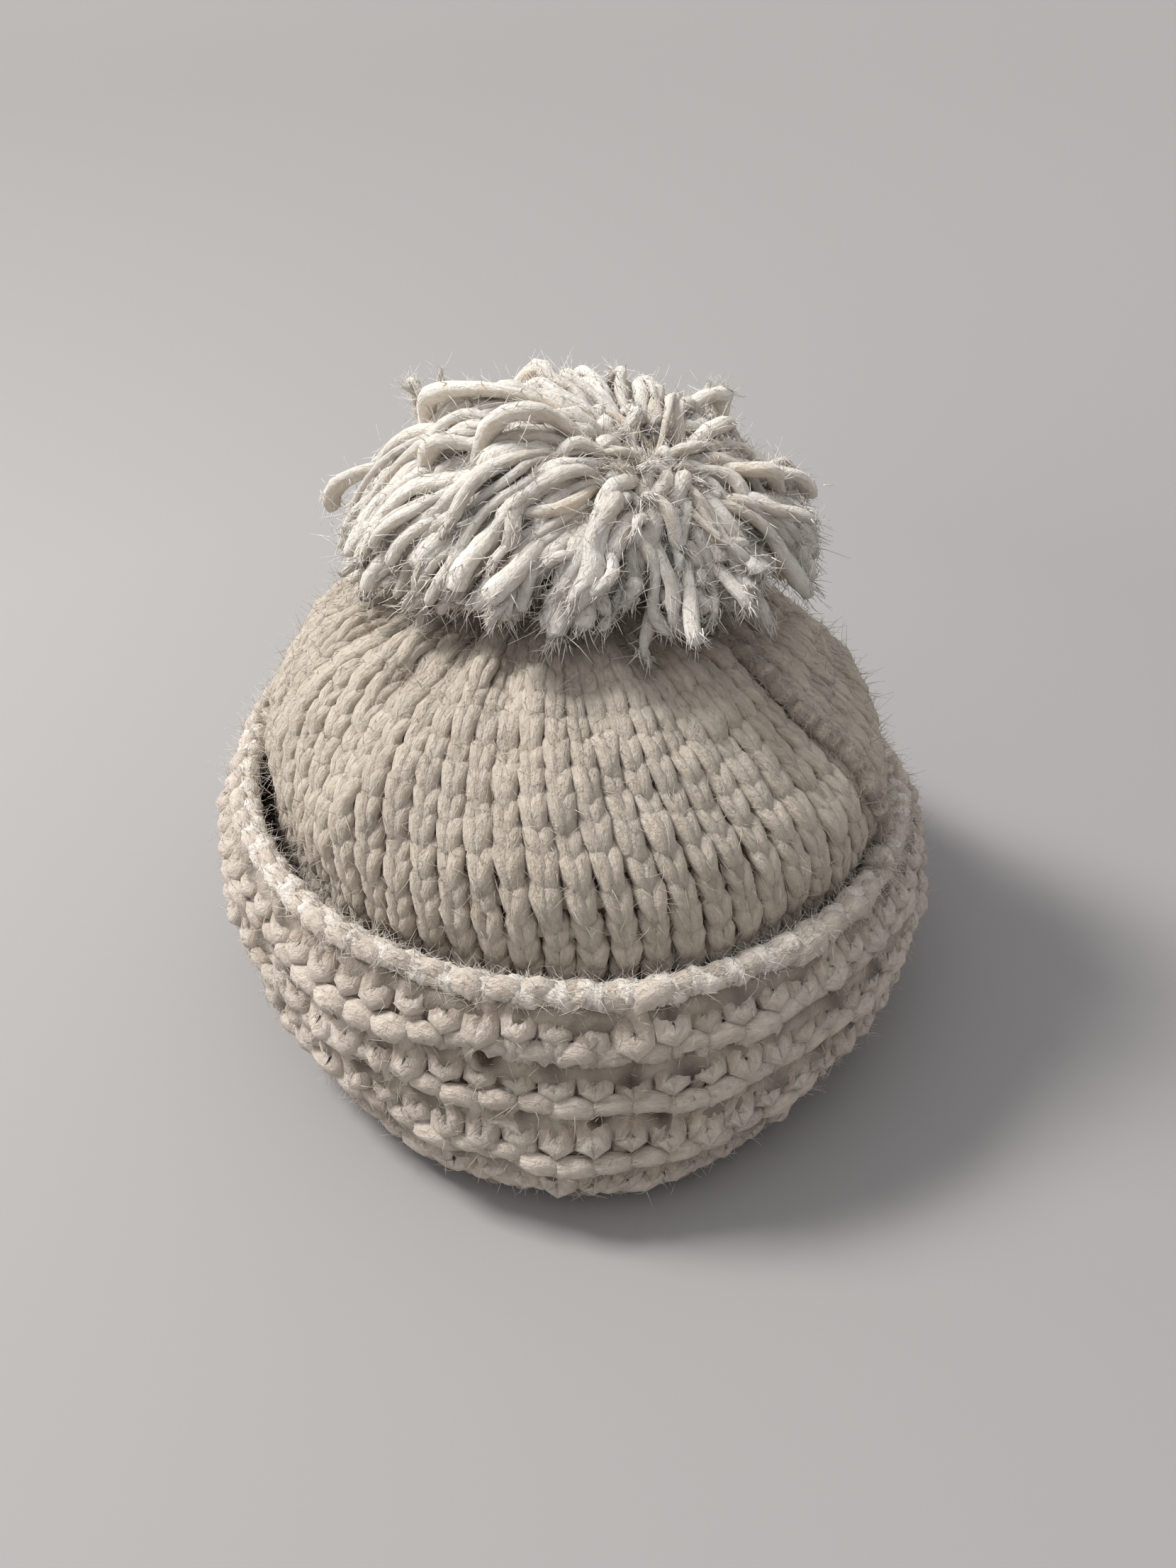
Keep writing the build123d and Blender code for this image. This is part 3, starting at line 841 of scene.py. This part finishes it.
def strand(rand, start, end, arch, radius):
    """A strand that leaves the tie, arches over and hangs down to its cut end."""
    t = np.append(np.linspace(0, 0.975, STRAND_POINTS), (0.99, 1.0))[:, None]
    span = np.linalg.norm((end - start)[:2])
    ahead = np.array([*(end - start)[:2], 0.0])
    first = start + 0.36 * ahead + np.array([0, 0, arch])
    second = end - 0.14 * ahead + np.array([0, 0, 0.5 * arch + 0.24 * span])
    path = ((1 - t) ** 3 * start + 3 * t * (1 - t) ** 2 * first
            + 3 * t ** 2 * (1 - t) * second + t ** 3 * end)
    for n in (1.1, 2.4, 4.3):
        kink = rand.normal(0, 3.2 / n, 3) * np.sin(n * np.pi * t + rand.uniform(0, 6.28))
        path = path + kink * smooth(t, 0, 0.45)
    # Painted shade near the tie, inside the pompom, fading out along the strand.
    deep = np.clip(0.9 - 1.5 * t[:, 0], 0, 1)
    return yarn_end(rand, path, radius, rand.uniform(0, 1), deep)


def reach(angle, wide, deep):
    """Radius of an ellipse at this angle."""
    return wide * deep / np.hypot(deep * np.cos(angle), wide * np.sin(angle))


# %% [markdown]
# A tuft is a bundle of strands that end in the same direction. Eight low tufts hang over the
# crown, six high ones fill in above them, and the crest closes the top. Each has its own seed,
# so that a change to one leaves the others alone.

# %% Tufts
BRUSH = 26                  # fibres in a strand's cut end
NAP = 50                    # fibres along its back


def brushed(name, rand, ends, seed):
    """A bundle of strands with their brushes and the nap of fibres on their backs."""
    strands = [end[0] for end in ends]
    tips = np.repeat([end[1] for end in ends], BRUSH, axis=0)
    ways = np.repeat([end[2] for end in ends], BRUSH, axis=0)
    wide = np.repeat([end[3] for end in ends], BRUSH)[:, None]
    roots = tips + rand.normal(0, 0.5, tips.shape) * wide
    ways = ways + rand.normal(0, 0.33, ways.shape)
    tufted = hairs(rand, roots, ways, rand.uniform(2.0, 5.0, len(roots)), 0.20, 0.15)
    nap = fuzz(strands, NAP * len(ends), (2.0, 6.5), seed, 0.28, 0.75, 0.15)
    mesh_piece(f"{name}_strands", strands + [tufted, nap], "pompom",
               LIT_POMPOM_WOOL, [name])


def tuft_ends(rand, angle, half_angle, heights, length, arch, count):
    """Strands of one tuft, spread round its direction."""
    ends = []
    for _ in range(count):
        a = angle + rand.uniform(-1, 1) * half_angle
        share = rand.uniform(0, 1)
        out = reach(a, POMPOM_WIDE, POMPOM_DEEP) * (length[0] + (length[1] - length[0]) * share)
        z = heights[0] + (heights[1] - heights[0]) * (1 - share) + rand.normal(0, 2.0)
        start = TIE + rand.normal(0, 1, 3) * (3, 3, 2)
        end = np.array([out * np.cos(a), out * np.sin(a), z])
        rise = arch * rand.uniform(0.6, 1.3) * np.linalg.norm((end - start)[:2]) / 50
        ends.append(strand(rand, start, end, rise, rand.uniform(1.2, 2.4)))
    return ends


LOW_TUFTS, HIGH_TUFTS = 8, 6
for k in range(LOW_TUFTS):
    rand = np.random.default_rng(300 + k)
    ends = tuft_ends(rand, math.radians(45 * (k + 0.5)), math.radians(25), (116, 127),
                     (0.84, 1.0), 6.0, 34)
    brushed(f"tuft_low_{k + 1}", rand, ends, 320 + k)
for k in range(HIGH_TUFTS):
    rand = np.random.default_rng(400 + k)
    ends = tuft_ends(rand, math.radians(60 * (k + 0.5)), math.radians(34), (122, 143),
                     (0.5, 0.92), 12.0, 46)
    brushed(f"tuft_high_{k + 1}", rand, ends, 420 + k)
rand = np.random.default_rng(500)
ends = tuft_ends(rand, 0.0, math.pi, (137, 150), (0.2, 0.66), 14.0, 84)
brushed("tuft_crest", rand, ends, 520)

# %% [markdown]
# Three groups of thin wisps stand up from the top and make it look used. They are the same
# strands, only thinner and with no weight to bend them down.

# %% Wisps
rand = np.random.default_rng(600)
WISP_LENGTH = 9
loose = []
for place, lean in (((-38, 20, 146), (-0.5, 0.5, 1.0)), ((34, 22, 147), (0.5, 0.3, 1.0)),
                    ((-34, 24, 147), (0.2, 0.3, 1.0))):
    for _ in range(3):
        t = np.linspace(0, 1, 18)[:, None]
        root = np.array(place) + rand.normal(0, 1.2, 3)
        sway = rand.normal(0, 2.0, 3) * np.sin(np.pi * t) + rand.normal(0, 1.5, 3) * t ** 2
        path = root + np.array(lean) * WISP_LENGTH * t + sway - np.array([0, 0, 3.0])
        # Painted shade near the root.
        loose.append(yarn_end(rand, path, 0.8, 0.6, 0.3 * (1 - t[:, 0])))
strands = [end[0] for end in loose]
wisp_fuzz = fuzz(strands, 700, (1.5, 5.0), 601, 0.35, 1.1, 0.1)
mesh_piece("wisps", strands + [wisp_fuzz], "pompom", LIT_POMPOM_WOOL)

# %% [markdown]
# ## Floor
#
# The floor is plain and pale. It curves up at its edge, so that seen from above it fills the
# view, and no horizon cuts across behind the hat.

# %% Floor
FLAT_RADIUS = 0.35          # metres, as all sizes here: where the floor begins to curve up
BEND_RADIUS = 0.6           # of that curve
BEND_ANGLE = math.radians(48)
WALL_END = (2.3, 1.75)      # distance and height of the wall's top


def studio_bowl(turns=96):
    """A round floor whose edge curves up into a low wall."""
    curve = [(FLAT_RADIUS + BEND_RADIUS * math.sin(a), BEND_RADIUS - BEND_RADIUS * math.cos(a))
             for a in np.linspace(0, BEND_ANGLE, 16)]
    profile = [(0.0, 0.0), (0.2, 0.0)] + curve + [WALL_END]
    angles = np.arange(turns) * 2 * np.pi / turns
    verts = [(0, 0, 0)] + [(r * math.cos(a), r * math.sin(a), z)
                           for r, z in profile[1:] for a in angles]
    faces = [(0, 1 + k, 1 + (k + 1) % turns) for k in range(turns)]
    for ring in range(len(profile) - 2):
        low, high = 1 + ring * turns, 1 + (ring + 1) * turns
        faces += [(low + k, high + k, high + (k + 1) % turns, low + (k + 1) % turns)
                  for k in range(turns)]
    mesh = bpy.data.meshes.new("floor")
    mesh.from_pydata(verts, [], faces)
    mesh.polygons.foreach_set("use_smooth", np.ones(len(faces), bool))
    obj = bpy.data.objects.new("floor", mesh)
    bpy.context.scene.collection.objects.link(obj)
    return obj


floor = studio_bowl()
paint = bpy.data.materials.new("floor_paint")
paint.use_nodes = True
paint.node_tree.nodes["Principled BSDF"].inputs["Base Color"].default_value = (
    0.30, 0.29, 0.285, 1)
paint.node_tree.nodes["Principled BSDF"].inputs["Roughness"].default_value = 0.8
floor.data.materials.append(paint)
print("floor", len(floor.data.polygons), "faces")

# %% [markdown]
# ## Lights
#
# A key light stands high on the left, a weak fill stands lower, and the room is pale. Wool
# needs a fairly small key, because light from every side would flatten its stitches.

# %% Lights
def area_light(name, place, aim, size, power, colour):
    """A soft square light at place, pointing at aim."""
    data = bpy.data.lights.new(name, "AREA")
    data.size, data.energy, data.color = size, power, colour
    obj = bpy.data.objects.new(name, data)
    bpy.context.scene.collection.objects.link(obj)
    obj.location = place
    way = np.array(aim) - np.array(place)
    obj.rotation_euler = (math.atan2(math.hypot(way[0], way[1]), -way[2]), 0,
                          math.atan2(way[1], way[0]) - math.pi / 2)
    return obj


area_light("key", (-1.15, 0.30, 1.50), (0, 0, 0.09), 0.45, 44, (1.0, 0.985, 0.96))
area_light("fill", (-1.0, -0.9, 0.6), (0, 0, 0.08), 1.0, 4.0, (1.0, 0.97, 0.94))
bpy.context.scene.view_settings.view_transform = "Standard"
world = bpy.data.worlds.new("room")
world.use_nodes = True
world.node_tree.nodes["Background"].inputs["Color"].default_value = (0.95, 0.96, 1.0, 1)
world.node_tree.nodes["Background"].inputs["Strength"].default_value = 0.80
bpy.context.scene.world = world
print("lights", sorted(light.name for light in bpy.data.lights))

# %% [markdown]
# ## Camera
#
# The camera looks down on the hat from behind and above, and is aimed a little above the floor.

# %% Camera
ELEVATION = math.radians(33.5)
DISTANCE = 0.3514
TARGET_HEIGHT = 0.0432
camera_data = bpy.data.cameras.new("camera")
camera_data.sensor_fit = "VERTICAL"
camera_data.sensor_height = 36
camera_data.lens = 27.67
camera_data.shift_x = 0.0079
camera_data.clip_start = 0.01
camera = bpy.data.objects.new("camera", camera_data)
camera.location = (0, -DISTANCE * math.cos(ELEVATION),
                   TARGET_HEIGHT + DISTANCE * math.sin(ELEVATION))
camera.rotation_euler = (math.pi / 2 - ELEVATION, 0, 0)
bpy.context.scene.collection.objects.link(camera)
bpy.context.scene.camera = camera
print("camera", [round(value, 4) for value in camera.location])

# %% [markdown]
# ## Finish
#
# The tie and the drawstring are plain frame pieces. They only need their wool.

# %% Finish
# The tie and drawstring take the tan copy of the yarn: painted shade, as they sit deep under and
# among the strands.
for name in ("tie_neck", "inner_knot", "tie_tail_left", "tie_tail_right", "tie_link",
             "pompom_core", "waist_wrap", "tie_knot", "gather_ring", "gather_knot"):
    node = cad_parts[name]
    node.data.materials.clear()
    node.data.materials.append(SHADED_TIE_WOOL if name != "pompom_core" else LIT_POMPOM_WOOL)
